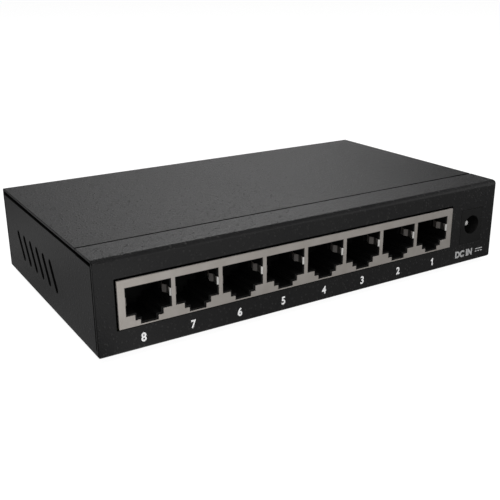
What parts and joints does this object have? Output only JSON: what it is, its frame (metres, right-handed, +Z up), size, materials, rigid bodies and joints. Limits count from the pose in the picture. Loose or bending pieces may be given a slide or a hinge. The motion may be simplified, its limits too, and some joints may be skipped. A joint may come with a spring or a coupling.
{
  "type": "desktop network switch",
  "caption": "Desktop network switch: folded black steel case with slanted side vents, a shielded ganged row of network ports and a barrel power jack.",
  "frame": {"origin": "centre of the footprint on the plane the four rubber feet stand on", "axes": "+X to the right when the network ports are faced, -Y out of the port panel, +Y out of the indicator panel, +Z up out of the top cover"},
  "size_m": [0.14, 0.0808, 0.0281],
  "materials": {
    "black_powder_coat": "fine-textured black powder coat",
    "black_screw_steel": "black zinc, satin",
    "insulating_film": "smoked polyester film",
    "green_board": "green solder mask",
    "jack_plastic": "moulded black thermoplastic",
    "nickel_plate": "satin nickel plate",
    "gold_contact": "gold-plated phosphor bronze",
    "tinned_brass": "bright tin plate",
    "moulded_epoxy": "moulded epoxy, fine matte",
    "heatsink_aluminium": "extruded, clear anodised",
    "capacitor_can": "drawn can",
    "ferrite": "sintered ferrite",
    "led_green": "tinted epoxy lens",
    "led_red": "tinted epoxy lens",
    "foot_rubber": "moulded rubber",
    "zinc_steel": "bright zinc plate"
  },
  "bodies": {
    "case": {"base_tray": "black_powder_coat", "board_screw_front_left": "zinc_steel", "board_screw_front_right": "zinc_steel", "board_screw_rear_left": "zinc_steel", "board_screw_rear_right": "zinc_steel", "crystal": "tinned_brass", "foot_front_left": "foot_rubber", "foot_front_right": "foot_rubber", "foot_rear_left": "foot_rubber", "foot_rear_right": "foot_rubber", "heatsink": "heatsink_aluminium", "input_capacitor": "capacitor_can", "input_diode": "moulded_epoxy", "insulating_sheet": "insulating_film", "led_port_1": "led_green", "led_port_2": "led_green", "led_port_3": "led_green", "led_port_4": "led_green", "led_port_5": "led_green", "led_port_6": "led_green", "led_port_7": "led_green", "led_port_8": "led_green", "led_power": "led_red", "magnetics_1": "moulded_epoxy", "magnetics_2": "moulded_epoxy", "magnetics_3": "moulded_epoxy", "magnetics_4": "moulded_epoxy", "main_board": "green_board", "memory_chip": "moulded_epoxy", "output_capacitor": "capacitor_can", "port_housing": "jack_plastic", "port_shield": "nickel_plate", "power_converter_chip": "moulded_epoxy", "power_inductor": "ferrite", "power_jack_housing": "jack_plastic", "power_jack_pin": "tinned_brass", "standoff_front_left": "zinc_steel", "standoff_front_right": "zinc_steel", "standoff_rear_left": "zinc_steel", "standoff_rear_right": "zinc_steel", "switch_chip": "moulded_epoxy"},
    "cover": {"top_cover": "black_powder_coat", "cover_screw_left": "black_screw_steel", "cover_screw_right": "black_screw_steel"},
    "power_spring": {"power_jack_spring": "tinned_brass"},
    "contacts_8": {"contact_set_8": "gold_contact"},
    "contacts_7": {"contact_set_7": "gold_contact"},
    "contacts_6": {"contact_set_6": "gold_contact"},
    "contacts_5": {"contact_set_5": "gold_contact"},
    "contacts_4": {"contact_set_4": "gold_contact"},
    "contacts_3": {"contact_set_3": "gold_contact"},
    "contacts_2": {"contact_set_2": "gold_contact"},
    "contacts_1": {"contact_set_1": "gold_contact"}
  },
  "joints": [
    {"name": "cover_lift", "type": "slide", "parent": "case", "child": "cover", "axis": [0, 0, 1], "range_m": [0, 0.045]},
    {"name": "power_spring_flex", "type": "hinge", "parent": "case", "child": "power_spring", "pos_m": [0.0601, -0.0286, 0.011], "axis": [1, 0, 0], "range_deg": [0, 4], "stiffness_Nm_per_rad": 0.00005},
    {"name": "contacts_8_flex", "type": "hinge", "parent": "case", "child": "contacts_8", "pos_m": [-0.05577, -0.03785, 0.0199], "axis": [1, 0, 0], "range_deg": [0, 10], "stiffness_Nm_per_rad": 0.0001},
    {"name": "contacts_7_flex", "type": "hinge", "parent": "case", "child": "contacts_7", "pos_m": [-0.0418, -0.03785, 0.0199], "axis": [1, 0, 0], "range_deg": [0, 10], "stiffness_Nm_per_rad": 0.0001},
    {"name": "contacts_6_flex", "type": "hinge", "parent": "case", "child": "contacts_6", "pos_m": [-0.02783, -0.03785, 0.0199], "axis": [1, 0, 0], "range_deg": [0, 10], "stiffness_Nm_per_rad": 0.0001},
    {"name": "contacts_5_flex", "type": "hinge", "parent": "case", "child": "contacts_5", "pos_m": [-0.01386, -0.03785, 0.0199], "axis": [1, 0, 0], "range_deg": [0, 10], "stiffness_Nm_per_rad": 0.0001},
    {"name": "contacts_4_flex", "type": "hinge", "parent": "case", "child": "contacts_4", "pos_m": [0.00011, -0.03785, 0.0199], "axis": [1, 0, 0], "range_deg": [0, 10], "stiffness_Nm_per_rad": 0.0001},
    {"name": "contacts_3_flex", "type": "hinge", "parent": "case", "child": "contacts_3", "pos_m": [0.01408, -0.03785, 0.0199], "axis": [1, 0, 0], "range_deg": [0, 10], "stiffness_Nm_per_rad": 0.0001},
    {"name": "contacts_2_flex", "type": "hinge", "parent": "case", "child": "contacts_2", "pos_m": [0.02805, -0.03785, 0.0199], "axis": [1, 0, 0], "range_deg": [0, 10], "stiffness_Nm_per_rad": 0.0001},
    {"name": "contacts_1_flex", "type": "hinge", "parent": "case", "child": "contacts_1", "pos_m": [0.04202, -0.03785, 0.0199], "axis": [1, 0, 0], "range_deg": [0, 10], "stiffness_Nm_per_rad": 0.0001}
  ]
}
